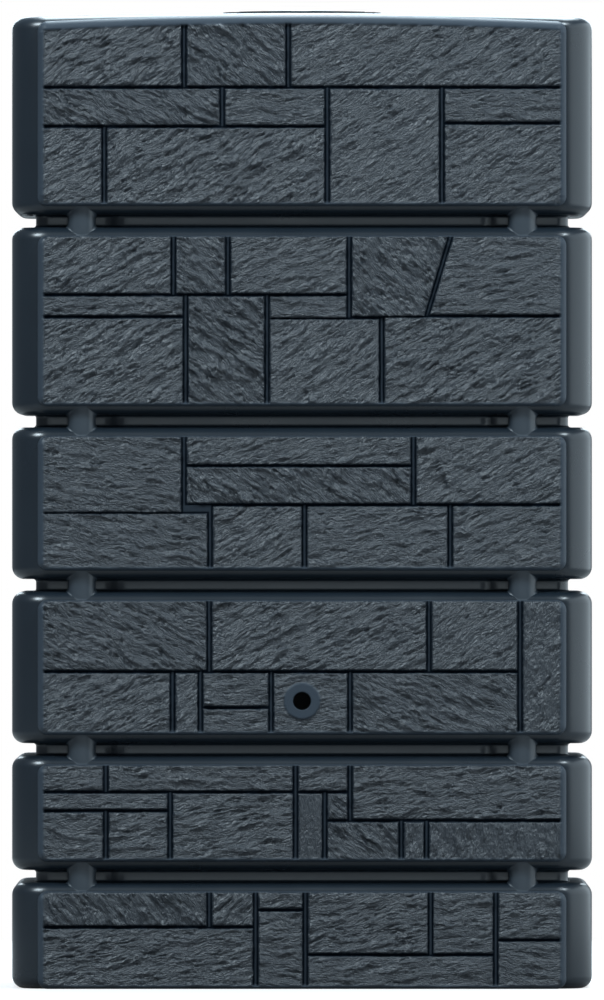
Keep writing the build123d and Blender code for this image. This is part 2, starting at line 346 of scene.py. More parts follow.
plan, outward = plan_columns()
on_front = outward[:, 1] < STRAIGHT_AHEAD
ramp = np.clip((STEP_HALF + STEP_RAMP - np.abs(plan[:, 0])) / STEP_RAMP, 0, 1)
step_rise = np.where(on_front, FLOOR_STEP * ramp * ramp * (3 - 2 * ramp), 0)
print("the plan has", len(plan), "columns")

# %% [markdown]
# The shell, inside and out
# The wall is drawn as one long profile: from the middle of the base out and up the outside, over the
# crown, down through the filler neck, and back down the inside. Every row of the profile is the plan
# at one height and depth, so the result is a closed skin of even thickness, like the blown wall. Only
# behind the tap port some faces are left out, so that the bore opens into the tank.

# %% Rows of the profile
ARC_STEPS = 8
CAP_SHARES = (0.04, 0.25, 0.5, 0.75, 1.0)
PORT_HOLE = 12.2 * MM


def crown_height(x):
    """Height of the outside of the top at a distance from the middle"""
    return TOP - x * x / (2 * CROWN_RADIUS)


def level_row(depth, height, follows_floor=0.0, follows_crown=0.0):
    """One row round the plan, set in by a depth; it can follow the stepped floor or the crown"""
    set_in = depth - follows_floor * step_rise
    points = plan - outward * set_in[:, None]
    level = height - follows_crown * (TOP - crown_height(points[:, 0]))
    return np.column_stack([points, level])


def arc(start_degrees, end_degrees):
    """Angles along a quarter round"""
    return np.radians(np.linspace(start_degrees, end_degrees, ARC_STEPS + 1))


def groove_rows(height, wall):
    """Rows from the face of the band below a groove, into it, and out to the band above"""
    mouth = EDGE_ROUND - wall
    slot = GROOVE_HALF_SLOT + wall
    corner = GROOVE_FILLET + wall
    floor = GROOVE_DEPTH + wall
    low = []
    for a in arc(0, 90):
        low.append((EDGE_ROUND - mouth * cos(a), -GROOVE_HALF_SLOT - EDGE_ROUND + mouth * sin(a), 0))
    for a in arc(0, 90):
        low.append((floor - corner + corner * sin(a), -slot + corner - corner * cos(a), 1))
    rows = [level_row(depth, height + z, follows) for depth, z, follows in low]
    rows += [level_row(depth, height - z, follows) for depth, z, follows in reversed(low)]
    return rows


def wall_rows(wall):
    """Rows of the outside (wall 0) or the inside of the shell, from the base to the top edge"""
    rounding = EDGE_ROUND - wall
    rows = [level_row(EDGE_ROUND - rounding * sin(a), EDGE_ROUND - rounding * cos(a)) for a in arc(0, 90)]
    for number, height in enumerate(groove_heights):
        if number == port_panel:
            rows += [level_row(wall, PORT_HEIGHT - PORT_HOLE), level_row(wall, PORT_HEIGHT + PORT_HOLE)]
        rows += groove_rows(height, wall)
    for a in arc(0, 90):
        depth, height = EDGE_ROUND - rounding * cos(a), TOP - EDGE_ROUND + rounding * sin(a)
        rows.append(level_row(depth, height, follows_crown=1))
    return rows


def cap_rows(edge_row, radius, drop):
    """Rows across the top, from its edge to a circle round the filler opening"""
    around = np.arctan2(edge_row[:, 1], edge_row[:, 0])
    circle = radius * np.column_stack([np.cos(around), np.sin(around)])
    rows = []
    for share in CAP_SHARES:
        points = edge_row[:, :2] * (1 - share) + circle * share
        rows.append(np.column_stack([points, crown_height(points[:, 0]) - drop]))
    return rows, around


def ring_row(around, radius, height):
    """A level circle round the filler opening"""
    return np.column_stack([radius * np.cos(around), radius * np.sin(around), np.full(len(around), height)])


# %% Build the shell
LAND_RADIUS = 103 * MM
NECK_BORE = 83.2 * MM
NECK_WALL = 4.3 * MM
NECK_DEPTH = 26 * MM
NECK_EDGE = 0.8 * MM
SHELL_CREASE = 50

outside = wall_rows(0)
inside = wall_rows(WALL)
outer_cap, around = cap_rows(outside[-1], LAND_RADIUS, 0)
inner_cap, _ = cap_rows(inside[-1], NECK_BORE + NECK_WALL, WALL)
neck_foot = TOP - NECK_DEPTH
neck_outline = [
    (LAND_RADIUS, TOP),
    (NECK_BORE + NECK_EDGE, TOP),
    (NECK_BORE, TOP - NECK_EDGE),
    (NECK_BORE, neck_foot + NECK_EDGE),
    (NECK_BORE + NECK_EDGE, neck_foot),
    (NECK_BORE + NECK_WALL, neck_foot),
]
neck = [ring_row(around, radius, height) for radius, height in neck_outline]
profile = outside + outer_cap + neck + inner_cap[::-1] + inside[::-1]
shell_points = np.concatenate(profile)
shell_faces = grid_faces(len(profile), len(plan), True)

middles = shell_points[shell_faces].mean(axis=1)
near_port = np.abs(middles[:, 0]) < PORT_HOLE
level_with_port = np.abs(middles[:, 2] - PORT_HEIGHT) < PORT_HOLE
in_front = middles[:, 1] < FRONT + CORNER_RADIUS
at_port = near_port & level_with_port & in_front
shell_faces = shell_faces[~at_port].tolist()
print("left", int(at_port.sum()), "faces open behind the tap port")

for row, height in ((0, 0.0), (len(profile) - 1, WALL)):
    pole = len(shell_points)
    shell_points = np.vstack([shell_points, [0, MIDDLE_Y, height]])
    ring = [row * len(plan) + column for column in range(len(plan))]
    for a, b in zip(ring, ring[1:] + ring[:1]):
        shell_faces.append([pole, b, a] if row == 0 else [pole, a, b])
shell = make_piece(
    "moulded_shell", shell_points, shell_faces, smooth_plastic, crease=SHELL_CREASE
)
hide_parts("tank_body")

# %% [markdown]
# Joints and stones
# A mould maker cuts the stones into the tool one by one, so each has its own grain, as split slate
# does. Every panel is listed as its stones: left and right in millimetres from the middle, foot and
# head in millimetres above the panel's foot, the angle of the grain in degrees and how rough it is.
# EDGE is where the panel ends at both sides. Two stones share a leaning joint, so they also say how
# far their left and right sides have moved over at the head.

# %% List the stones
EDGE = 325
STONES = [
    [
        (-EDGE, -114, 76, 120, -60, 0.9), (-114, -57, 76, 120, 40, 0.8), (-57, 4, 97, 120, 5, 0.8),
        (4, 158, 42, 120, 14, 1.0), (158, 238, 42, 120, 4, 0.9), (238, EDGE, 60, 120, 8, 0.9),
        (-EDGE, -57, 0, 76, 8, 1.0), (-57, 4, 0, 97, -4, 0.8), (4, 238, 0, 42, 5, 0.9),
        (238, EDGE, 0, 60, -8, 0.9),
    ],
    [
        (-EDGE, -241, 86, 120, 6, 0.9), (-241, -8, 86, 120, -4, 1.0), (-8, 59, 86, 120, 12, 0.8),
        (59, EDGE, 51, 120, 7, 1.0), (-EDGE, -162, 63, 86, 2, 0.7), (-162, -8, 0, 86, 10, 1.0),
        (-EDGE, -241, 0, 63, -6, 0.9), (-241, -162, 0, 63, 12, 1.0), (-8, 28, 0, 86, 80, 0.35),
        (28, 59, 51, 86, -45, 0.9), (28, 122, 0, 51, -45, 1.0), (122, 153, 0, 51, 70, 0.8),
        (153, EDGE, 0, 51, 84, 0.9),
    ],
    [
        (-EDGE, -114, 78, 166, -28, 1.0), (-114, 156, 78, 166, 26, 1.1), (156, 268, 78, 166, 40, 0.8),
        (268, EDGE, 0, 166, 62, 0.8), (-EDGE, -159, 0, 78, 30, 1.0), (-159, -125, 0, 78, 50, 0.7),
        (-125, -38, 34, 78, 3, 0.9), (-125, -38, 0, 34, -3, 0.9), (-38, 59, 0, 78, 4, 0.9),
        (59, 268, 0, 78, -28, 1.0),
    ],
    [
        (-EDGE, -145, 70, 166, -10, 1.0), (-145, 137, 129, 166, 18, 0.9), (-145, 137, 81, 129, -40, 1.1),
        (137, EDGE, 81, 166, 28, 1.0), (-EDGE, -113, 0, 72, -14, 1.0), (-113, 3, 0, 81, 30, 1.0),
        (3, 182, 0, 81, 10, 0.9), (182, EDGE, 0, 81, 20, 1.0),
    ],
    [
        (-EDGE, -158, 137, 210, 34, 1.1), (-158, -91, 137, 210, -38, 0.9), (-91, 58, 137, 210, 20, 1.0),
        (58, 153, 109, 210, -48, 1.0, 0, 30), (153, EDGE, 111, 210, 10, 0.9, 30, 0),
        (-EDGE, -143, 110, 137, 3, 0.9), (-43, 58, 107, 137, 2, 0.9), (-EDGE, -143, 0, 110, 30, 1.1),
        (-143, -43, 0, 137, -42, 1.2), (-43, 98, 0, 109, 38, 0.9), (98, EDGE, 0, 111, 30, 1.2),
    ],
    [
        (-EDGE, -145, 146, 235, 35, 1.1), (-145, -17, 146, 235, -44, 1.0), (-17, EDGE, 146, 235, 32, 0.9),
        (-EDGE, -98, 98, 146, -34, 1.0), (-98, 31, 98, 146, 3, 0.9), (31, 172, 0, 146, 36, 0.8),
        (172, EDGE, 102, 146, 2, 0.9), (-EDGE, -243, 0, 98, 28, 0.9), (-243, 31, 0, 98, 36, 1.2),
        (172, EDGE, 0, 102, 30, 0.9),
    ],
]
print("the front has", sum(len(stones) for stones in STONES), "stones in", len(STONES), "panels")

# %% [markdown]
# Noise with a direction
# Split slate breaks along its bedding into long, thin ledges with short steep faces, and between them
# run sharp little ridges. Both come from gradient noise that is stretched along the grain: rounded to
# steps it gives the ledges, and folded about zero it gives the ridges. More noise bends them, makes
# them fade in and out, and chips them. It is written out here with fixed seeds, so that every run is
# the same.

# %% Gradient noise on a grid
NOISE_GAIN = 1.5
LAYER_SEED_STEP = 31
SCRAMBLE_U = 374761393
SCRAMBLE_V = 668265263
SCRAMBLE_SEED = 974634777
SCRAMBLE_AGAIN = 1274126177


def gradient_noise(u, v, seed):
    """Smooth noise between about -1 and 1, one bump per unit of u and v"""
    cell_u, cell_v = np.floor(u).astype(np.int64), np.floor(v).astype(np.int64)
    part_u, part_v = u - cell_u, v - cell_v
    total = np.zeros(u.shape)
    for near_u in (0, 1):
        for near_v in (0, 1):
            mixed = (cell_u + near_u) * SCRAMBLE_U + (cell_v + near_v) * SCRAMBLE_V + seed * SCRAMBLE_SEED
            mixed = (mixed ^ (mixed >> 13)) * SCRAMBLE_AGAIN & 0xFFFFFFFF
            angle = ((mixed ^ (mixed >> 16)) & 0xFFFF) * (2 * pi / 65536)
            away_u, away_v = part_u - near_u, part_v - near_v
            fade_u = 1 - np.abs(away_u) ** 3 * (10 - 15 * np.abs(away_u) + 6 * away_u**2)
            fade_v = 1 - np.abs(away_v) ** 3 * (10 - 15 * np.abs(away_v) + 6 * away_v**2)
            total += fade_u * fade_v * (np.cos(angle) * away_u + np.sin(angle) * away_v)
    return total * NOISE_GAIN


def sized_noise(along, across, size, seed, layers=1):
    """Noise with bumps of a length and a width; each further layer is half as large and as strong"""
    u, v = along / size[0], across / size[1]
    total = np.zeros(u.shape)
    for layer in range(layers):
        total += gradient_noise(u * 2**layer, v * 2**layer, seed + LAYER_SEED_STEP * layer) / 2**layer
    return total


# %% [markdown]
# The relief of split slate
# Each height and size below is in millimetres, and a size is the length and the width of one bump. The
# large swell keeps a stone from looking flat. A slow noise runs the ledges and ridges up and down, so
# that no two places have the same depth. Grain that falls to the right catches less light, so it gets
# a little more relief.

# %% Heights of split slate
BEND, BEND_SIZE = 4.0, (38, 38)
WARP, WARP_SIZE = 1.1, (10, 7)
SWELL, SWELL_SIZE = 1.2, (40, 26)
RUN_MEAN, RUN_SIZE = 0.75, (24, 12)
RUN_LOWEST, RUN_HIGHEST = 0.2, 1.5
LEDGES, LEDGE_SIZE, LEDGE_LAYERS = 2.6, (32, 8.5), 3
LEDGE_STEPS = 3.0
LEDGE_STEEP = 0.4
RIDGES, RIDGE_SIZE, RIDGE_LAYERS = 1.6, (15, 4.2), 2
RIDGE_SHARPNESS = 1.7
CHIPS, CHIP_SIZE, CHIP_LAYERS = 0.3, (3.4, 3.4), 2
FALLING_BELOW = -15
FALLING_EXTRA = 0.35


def ledges_of(level):
    """Level rounded to flat steps, with a steep face between one step and the next"""
    scaled = level * LEDGE_STEPS
    part = scaled - np.floor(scaled)
    return (np.floor(scaled) + np.clip((part - 1 + LEDGE_STEEP) / LEDGE_STEEP, 0, 1)) / LEDGE_STEPS


def ridges_of(level):
    """Sharp crests where the level passes through zero"""
    return 1 - RIDGE_SHARPNESS * np.abs(level)


def slate_relief(x, z, grain_degrees, roughness, seed):
    """How far split slate stands out, and the places along and across its grain, in millimetres"""
    turn = radians(grain_degrees)
    bend = BEND * sized_noise(x, z, BEND_SIZE, seed + 5)
    along = x * cos(turn) + z * sin(turn) + bend
    across = z * cos(turn) - x * sin(turn) + bend
    across = across + WARP * sized_noise(along, across, WARP_SIZE, seed + 51)
    falling = 1 + FALLING_EXTRA * (grain_degrees < FALLING_BELOW)

    swell = SWELL * sized_noise(along, across, SWELL_SIZE, seed + 61)
    strength = RUN_MEAN + sized_noise(along, across, RUN_SIZE, seed + 17)
    run = roughness * falling * np.clip(strength, RUN_LOWEST, RUN_HIGHEST)
    ledges = LEDGES * ledges_of(sized_noise(along, across, LEDGE_SIZE, seed, LEDGE_LAYERS))
    ridges = RIDGES * ridges_of(sized_noise(along, across, RIDGE_SIZE, seed + 9, RIDGE_LAYERS))
    chips = CHIPS * sized_noise(x, z, CHIP_SIZE, seed + 37, CHIP_LAYERS)
    return swell + run * (ledges + ridges) + chips, along, across


# %% [markdown]
# One panel of stones
# The panel is a grid of points that stand closer together along the joints and round the rim. Each
# point asks which stone it is in and how far the stone's edge is. That gives the relief of the stone,
# its worn edges, and the sunk joint between stones, which is deepest along both sides. Towards the
# panel's rim the relief fades into a smooth rounded bevel, as on the real one. All sizes here are in
# millimetres.

# %% Lines of the panel's grid
SPACING_ACROSS = 1.52
SPACING_UP = 1.48
JOINT_SPACING = 0.9
JOINT_ZONE = 4.5
RIM_STEPS = [0, 0.15, 0.5, 1.0, 1.7, 2.6, 3.6, 4.7, 5.9]
SCAN_POINTS = 8000


def grid_lines(low, high, joints, spacing):
    """Positions along one side of a panel: close together at both rims and along the joints"""
    rim = np.array(RIM_STEPS)
    scan = np.linspace(low + rim[-1], high - rim[-1], SCAN_POINTS)
    step = np.full(len(scan), spacing)
    for first, last in joints:
        step[(scan > first - JOINT_ZONE) & (scan < last + JOINT_ZONE)] = JOINT_SPACING
    lines = np.concatenate([[0], np.cumsum((scan[1:] - scan[:-1]) / step[1:])])
    inner = np.interp(np.linspace(0, lines[-1], int(round(lines[-1])) + 1), lines, scan)
    return np.concatenate([low + rim[:-1], inner, (high - rim[:-1])[::-1]])


# %% Stones and joints over a panel
UPRIGHT_HALF = 3.6
BED_HALF = 1.9
JOINT_FLOOR = -5.0
MORTAR_LEVEL = -4.4
MORTAR_EDGE = 2.0
MORTAR_FADE = 0.7
STONE_LEVEL = -1.7
RAGGED, RAGGED_SIZE = 0.45, (7, 7)
RAGGED_FINE, RAGGED_FINE_SIZE = 0.3, (2.8, 2.8)
WORN_HEIGHT = 0.6
WORN_WIDTH = 1.2
STONE_SIDE = 0.7
MARK_FADE = 0.9
MARK_AT_EDGE = 0.4
GRAIN_SHIFT_ALONG = 90
GRAIN_SHIFT_ACROSS = 70
STONE_SEED_STEP = 101
FAR = 1e3


def stone_heights(x, z, stones, height, seed):
    """Height of the stones and joints, how much a point is stone or mortar, and its place in the grain"""
    inside_by, owner = np.full(x.shape, -FAR), np.zeros(x.shape, int)
    no_joint = np.full(x.shape, FAR)
    for number, (left, right, foot, head, _, _, *lean) in enumerate(stones):
        left_lean, right_lean = lean or (0, 0)
        share = (z - foot) / (head - foot)
        to_left = x - left - left_lean * share - UPRIGHT_HALF if left > -EDGE else no_joint
        to_right = right + right_lean * share - x - UPRIGHT_HALF if right < EDGE else no_joint
        to_foot = z - foot - BED_HALF if foot > 0 else no_joint
        to_head = head - z - BED_HALF if head < height else no_joint
        reach = np.minimum(np.minimum(to_left, to_right), np.minimum(to_foot, to_head))
        owner = np.where(reach > inside_by, number, owner)
        inside_by = np.maximum(inside_by, reach)

    ragged = RAGGED * sized_noise(x, z, RAGGED_SIZE, seed + 3)
    ragged_fine = RAGGED_FINE * sized_noise(x, z, RAGGED_FINE_SIZE, seed + 4)
    edge = inside_by + (ragged + ragged_fine)
    mortar = np.clip((-inside_by - MORTAR_EDGE) / MORTAR_FADE, 0, 1)
    heights = JOINT_FLOOR + (MORTAR_LEVEL - JOINT_FLOOR) * mortar
    grain = np.zeros((*x.shape, 2))
    for number, stone in enumerate(stones):
        mine = owner == number
        stone_seed = seed + STONE_SEED_STEP * number
        relief, along, across = slate_relief(x[mine], z[mine], stone[4], stone[5], stone_seed)
        top = STONE_LEVEL + relief - WORN_HEIGHT * np.exp(-np.clip(edge[mine], 0, None) / WORN_WIDTH)
        side = np.clip(edge[mine] / STONE_SIDE, 0, 1)
        heights[mine] = np.maximum(heights[mine] * (1 - side) + top * side, JOINT_FLOOR)
        along_shifted = along + GRAIN_SHIFT_ALONG * number
        across_shifted = across + GRAIN_SHIFT_ACROSS * number
        grain[mine] = np.column_stack([along_shifted, across_shifted])
    return heights, np.clip(edge / MARK_FADE + MARK_AT_EDGE, 0, 1), mortar, grain * MM


# %% The face of a panel with its rim
PROUD = PANEL_PROUD / MM
PANEL_CORNER = 12.0
SIDE_BEVEL = 9.0
FOOT_BEVEL = 5.5
HEAD_BEVEL = 3.0
TOP_HEAD_BEVEL = 13.0
HEAD_DROP = 8.0
SIDE_FADE = (6, 3)
FOOT_FADE = (3, 2.5)
HEAD_FADE = (0.3, 2)
TOP_HEAD_FADE = (10, 2)
# share of the joints' painted shade that the strip of mortar takes back
MORTAR_SHADE_TAKEN_BACK = 0.5
PORT_DISC = 22.8
PANEL_SEED_STEP = 1000


def rim_height(inside_by, bevel):
    """Height of the smooth rim over the band behind, which rises as a quarter round"""
    over = np.clip(inside_by / bevel, 0, 1)
    return PROUD * np.sqrt(1 - (1 - over) ** 2)


def fade_in(inside_by, fade):
    """0 up to a distance from the rim, and from there up to 1 over a width"""
    start, width = fade
    return np.clip((inside_by - start) / width, 0, 1)


def panel_face(index):
    """Places of a panel's points, their height, how far inside the outline they are, and their marks"""
    height = PANEL_HEIGHTS[index] / MM
    is_top = index == len(PANEL_HEIGHTS) - 1
    uprights = [(stone[0], stone[0] + sum(stone[6:7])) for stone in STONES[index] if stone[0] > -EDGE]
    beds = [(stone[2], stone[2]) for stone in STONES[index] if stone[2] > 0]
    columns = grid_lines(-EDGE, EDGE, uprights, SPACING_ACROSS)
    x, z = np.meshgrid(columns, grid_lines(0, height, beds, SPACING_UP))
    drop = HEAD_DROP * (x / EDGE) ** 2 if is_top else np.zeros(x.shape)
    head = height - drop
    z = z * head / height
    seed = PANEL_SEED_STEP * (index + 1)
    stones, on_stone, mortar, grain = stone_heights(x, z, STONES[index], round(height), seed)

    from_side, from_foot, from_head = EDGE - np.abs(x), z, head - z
    corner_x = np.clip(PANEL_CORNER - from_side, 0, None)
    corner_z = np.clip(PANEL_CORNER - np.minimum(from_foot, from_head), 0, None)
    corner = PANEL_CORNER - np.hypot(corner_x, corner_z)
    in_corner = (corner_x > 0) & (corner_z > 0)
    inside_by = np.where(in_corner, corner, np.minimum(from_side, np.minimum(from_foot, from_head)))

    side = rim_height(np.where(in_corner, corner, from_side), SIDE_BEVEL)
    low = rim_height(np.where(in_corner, corner, from_foot), FOOT_BEVEL)
    high = rim_height(np.where(in_corner, corner, from_head), TOP_HEAD_BEVEL if is_top else HEAD_BEVEL)
    rim = np.minimum(side, np.minimum(low, high))
    fade_head = fade_in(from_head, TOP_HEAD_FADE if is_top else HEAD_FADE)
    fade = fade_in(from_side, SIDE_FADE) * fade_in(from_foot, FOOT_FADE) * fade_head
    split = fade * on_stone
    if index == port_panel:
        split = split * (np.hypot(x, z - (PORT_HEIGHT - panel_feet[index]) / MM) > PORT_DISC)
    # the stone mark: 0 paints the full shade into a joint, and the mortar strip takes back part of it
    stone = 1 - fade * (1 - on_stone - MORTAR_SHADE_TAKEN_BACK * mortar)
    marks = {"stone": stone, "split": split, "slate_grain": grain}
    return x, z, rim + fade * stones, inside_by, marks


# %% [markdown]
# The tap port
# A tap needs a flat seat for its washer, so the mould has a smooth round disc here, a little proud of
# the stones, with a plain bore through the wall. The grid's points on the disc are pulled to one level.
# Then the faces over the bore are left out, their open edge is drawn onto a true circle, and two more
# rings of points carry it over a small bevel and back through the wall.

# %% Cut the tap port
DISC_BEVEL = 0.9
BORE_BEVEL = 0.8
BORE_BACK = 15.0


def ring_of(points, faces):
    """The open edge round the tap port's bore, as pairs of point numbers"""
    edges = np.concatenate([faces[:, [i, (i + 1) % 4]] for i in range(4)])
    _, place, counts = np.unique(np.sort(edges, axis=1), axis=0, return_index=True, return_counts=True)
    border = edges[place[counts == 1]]
    middle = points[border].mean(axis=1)
    return border[np.hypot(middle[:, 0], middle[:, 2] - PORT_HEIGHT) < 2 * PORT_BORE]


def cut_port(points, faces):
    """The flat disc round the tap port, its bevelled edge, and the bore through it"""
    away = np.hypot(points[:, 0], points[:, 2] - PORT_HEIGHT) / MM
    on_disc = np.clip((PORT_DISC - away) / DISC_BEVEL, 0, 1)
    points[:, 1] = points[:, 1] * (1 - on_disc) + DISC_FACE * on_disc

    centres = points[faces].mean(axis=1)
    mouth = PORT_BORE + BORE_BEVEL * MM
    faces = faces[np.hypot(centres[:, 0], centres[:, 2] - PORT_HEIGHT) > mouth]
    ring = ring_of(points, faces)
    on_ring = np.unique(ring)
    spoke = points[on_ring][:, [0, 2]] - [0, PORT_HEIGHT]
    spoke /= np.hypot(spoke[:, 0], spoke[:, 1])[:, None]
    points[on_ring, 0] = spoke[:, 0] * mouth
    points[on_ring, 2] = spoke[:, 1] * mouth + PORT_HEIGHT
    for depth in (BORE_BEVEL * MM, BORE_BACK * MM):
        first = len(points)
        level = np.full(len(spoke), DISC_FACE + depth)
        circle = np.column_stack([spoke[:, 0] * PORT_BORE, level, spoke[:, 1] * PORT_BORE + PORT_HEIGHT])
        points = np.vstack([points, circle])
        number = dict(zip(on_ring.tolist(), range(first, len(points))))
        faces = np.vstack([faces, [[b, a, number[a], number[b]] for a, b in ring.tolist()]])
        ring = np.array([[number[a], number[b]] for a, b in ring.tolist()])
        on_ring = np.arange(first, len(points))
    print("the tap port's bore has", len(spoke), "points round it")
    return points, faces


# %% [markdown]
# From grids to panels
# Grid points outside the rounded outline are moved onto it, so each panel keeps its plain rows and
# columns. A skirt of faces runs from its border back into the band, and so no gap shows behind the
# rim. Last, the marks are written to the mesh for the stone plastic to read.

# %% Build the panels
SKIRT = 8.0
TINY = 1e-6


def add_numbers(mesh, marks, count):
    """Writes the marks to the points; skirt and bore points get 0, and so the joints' painted shade"""
    for name in ("stone", "split"):
        values = np.zeros(count)
        values[: marks[name].size] = marks[name].ravel()
        mesh.attributes.new(name, "FLOAT", "POINT").data.foreach_set("value", values)
    places = np.zeros((count, 3))
    places[: marks["stone"].size, :2] = marks["slate_grain"].reshape(-1, 2)
    mesh.attributes.new("slate_grain", "FLOAT_VECTOR", "POINT").data.foreach_set("vector", places.ravel())


def panel_piece(index):
    """One stone panel as a mesh, with its rounded outline and the skirt that roots it in the band"""
    x, z, surface, inside_by, marks = panel_face(index)
    rows, columns = x.shape
    outside = inside_by < 0
    shrink_x = np.sign(x) * (EDGE - PANEL_CORNER)
    head = z.max(axis=0)[None, :]
    centre_z = np.where(z > z.max() / 2, head - PANEL_CORNER, PANEL_CORNER)
    away_x, away_z = x - shrink_x, z - centre_z
    away = np.maximum(np.hypot(away_x, away_z), TINY)
    x = np.where(outside, shrink_x + away_x / away * PANEL_CORNER, x)
    z = np.where(outside, centre_z + away_z / away * PANEL_CORNER, z)
    surface = np.where(outside, 0, surface)
    depth = PANEL_FACE + (PROUD - surface) * MM
    points = np.stack([x * MM, depth, (z + panel_feet[index] / MM) * MM], axis=-1).reshape(-1, 3)
    faces = grid_faces(rows, columns, False)
    if index == port_panel:
        points, faces = cut_port(points, faces)

    border = np.concatenate([
        np.arange(columns),
        np.arange(1, rows) * columns + columns - 1,
        np.arange(columns - 2, -1, -1) + (rows - 1) * columns,
        np.arange(rows - 2, 0, -1) * columns,
    ])
    skirt = points[border] + [0, SKIRT * MM, 0]
    first = len(points)
    points = np.vstack([points, skirt])
    place = np.arange(len(border))
    after = np.roll(place, -1)
    skirt_faces = np.column_stack([place + first, after + first, border[after], border])
    faces = np.vstack([faces, skirt_faces])
    piece = make_piece(f"stone_panel_{index}", points, faces, stone_plastic)
    add_numbers(piece.data, marks, len(points))


for index in range(len(PANEL_HEIGHTS)):
    panel_piece(index)

# %% [markdown]
# The posts in the grooves
# Two posts bridge every groove at the front and tie one band to the next. Each meets the rounded
# shelves of the groove in a fillet, which catches the light as a thin U. A post is its plan outline
# carried upwards, and each end flares out along the arc of the fillet. Half of one post is enough: it
# is mirrored about the middle of the groove and copied to both sides of all five.

# %% Build the posts
POST_X = 271 * MM
POST_RADIUS = 17.2 * MM
POST_SET_BACK = 1 * MM
POST_ROOT = 2 * MM
POST_FILLET = 4.0 * MM
POST_SUNK = 0.4 * MM
POST_SQUARENESS = 2.6
NOSE_COLUMNS = 33
FLANK_COLUMNS = 5


def shelf_height(depth):
    """Height of the lower shelf under the middle of the groove, at a depth behind the band's face"""
    depth = np.clip(depth, 0, None)
    inward = np.clip(EDGE_ROUND - depth, 0, EDGE_ROUND)
    return -GROOVE_HALF_SLOT - EDGE_ROUND + np.sqrt(EDGE_ROUND**2 - inward**2)


def post_columns():
    """Plan of a post about its nose's middle: points, outward directions"""
    flank = np.linspace(GROOVE_DEPTH - POST_SET_BACK - POST_RADIUS + POST_ROOT, 0, FLANK_COLUMNS)[:-1]
    turns = np.linspace(pi, 2 * pi, NOSE_COLUMNS)
    circle = np.column_stack([np.cos(turns), np.sin(turns)])
    nose = np.sign(circle) * np.abs(circle) ** (2 / POST_SQUARENESS)
    facing = np.sign(nose) * np.abs(nose) ** (POST_SQUARENESS - 1)
    facing /= np.hypot(facing[:, 0], facing[:, 1])[:, None]
    left = np.column_stack([np.full(len(flank), -1.0), np.zeros(len(flank))])
    outward = np.vstack([left, facing, -left])
    places = np.vstack([
        np.column_stack([np.full(len(flank), -POST_RADIUS), flank]),
        nose * POST_RADIUS,
        np.column_stack([np.full(len(flank), POST_RADIUS), flank[::-1]]),
    ])
    return places, outward


def post_rows():
    """Rows of half a post below the middle of its groove, from the flared foot up"""
    places, outward = post_columns()
    depth = POST_SET_BACK + POST_RADIUS + places[:, 1]
    meets = shelf_height(depth)
    beyond = shelf_height(depth + outward[:, 1] * POST_FILLET)
    fall = (meets - beyond) / POST_FILLET
    lean = np.arctan(fall)
    centre = meets - POST_FILLET * fall + POST_FILLET / np.cos(lean)
    rows = []
    for share in np.linspace(1, 0, ARC_STEPS + 1):
        angle = share * (pi / 2 - lean)
        flare = POST_FILLET * (1 - np.cos(angle))
        height = centre - POST_FILLET * np.sin(angle) - POST_SUNK * share**2
        rows.append(np.column_stack([places + outward * flare[:, None], height]))
    rows.append(np.column_stack([places, np.zeros(len(places))]))
    return rows


half = post_rows()
half_up = [row * [1, 1, -1] for row in half[-2::-1]]
one_post = np.concatenate(half + half_up)
post_points, post_faces = [], []
for height in groove_heights:
    for side in (-1, 1):
        start = sum(len(p) for p in post_points)
        post_points.append(one_post + [side * POST_X, FRONT + POST_SET_BACK + POST_RADIUS, height])
        post_faces.append(grid_faces(len(half) + len(half_up), len(half[0]), False, start))
post_points = np.concatenate(post_points)
post_faces = np.concatenate(post_faces)
make_piece("groove_posts", post_points, post_faces, post_plastic)

# %% [markdown]
# The thread in the neck
# The neck's thread is a coarse ridge that climbs 7 mm a turn. It is swept here as a four-sided
# section along its helix, right-handed, to match the thread of the lid's plug. The section's root
# runs a little into the neck's wall.

# %% Build the neck's thread
THREAD_PITCH = 7 * MM
THREAD_TURNS = 1.25
THREAD_START = 35
THREAD_HEIGHT = 2.4 * MM
THREAD_BASE = 4.4 * MM
THREAD_CREST = 2.2 * MM
THREAD_ROOT = 0.5 * MM
THREAD_FOOT = 20.5 * MM
THREAD_COLUMNS = 90
THREAD_CREASE = 30

section = [
    (THREAD_ROOT, THREAD_BASE / 2),
    (-THREAD_HEIGHT, THREAD_CREST / 2),
    (-THREAD_HEIGHT, -THREAD_CREST / 2),
    (THREAD_ROOT, -THREAD_BASE / 2),
]
thread_rows = []
for share in np.linspace(0, 1, THREAD_COLUMNS):
    turn = radians(THREAD_START) + 2 * pi * THREAD_TURNS * share
    rise = TOP - THREAD_FOOT + THREAD_PITCH * THREAD_TURNS * share
    row = [((NECK_BORE + r) * cos(turn), (NECK_BORE + r) * sin(turn), rise + z) for r, z in section]
    thread_rows.append(row)
thread_points = np.concatenate(thread_rows)
thread_faces = grid_faces(THREAD_COLUMNS, len(section), True)
make_piece("neck_thread", thread_points, thread_faces, smooth_plastic, crease=THREAD_CREASE)

# %% [markdown]
# The lid and its seal
# The lid and the seal already have their true shapes in the solid model, so they stay. A narrow bevel
# takes the razor edge off the lid, as moulding does, and both get their own plastic.

# %% Finish the lid and the seal
LID_EDGE = 0.5 * MM
LID_EDGE_STEPS = 2
LID_EDGE_ANGLE = 35

